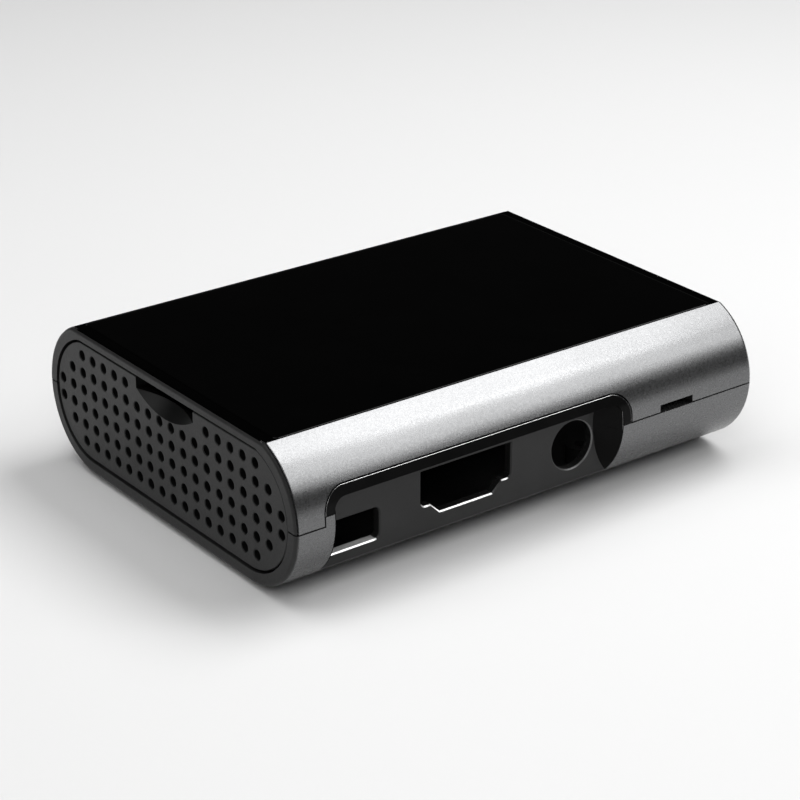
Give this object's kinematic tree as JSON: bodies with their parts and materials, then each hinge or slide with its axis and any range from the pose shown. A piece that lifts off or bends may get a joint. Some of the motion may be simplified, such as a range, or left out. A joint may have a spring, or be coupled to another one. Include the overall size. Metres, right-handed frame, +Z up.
{
  "type": "single board computer case",
  "caption": "Low rounded case for a credit card sized computer board, with a grille end, a recessed port side and a lift-off cover.",
  "frame": {"origin": "middle of the case's length and width, at the bottom of its feet", "axes": "+X from the grille end to the network end, +Z up through the cover, -Y out of the side with the power, video and audio openings"},
  "size_m": [0.091, 0.0704, 0.0251],
  "materials": {
    "silver_paint": "satin",
    "gloss_black": "gloss",
    "dark_plastic": "satin",
    "foot_rubber": "matte"
  },
  "bodies": {
    "base": {"bottom_shell": "silver_paint", "front_grille": "dark_plastic", "rear_panel": "dark_plastic", "port_panel": "dark_plastic", "foot_1": "foot_rubber", "foot_2": "foot_rubber", "foot_3": "foot_rubber", "foot_4": "foot_rubber"},
    "cover": {"top_cover": "silver_paint", "deck_panel": "gloss_black"}
  },
  "joints": [
    {"name": "cover_lift", "type": "slide", "parent": "base", "child": "cover", "axis": [0, 0, 1], "range_m": [0, 0.03]}
  ]
}
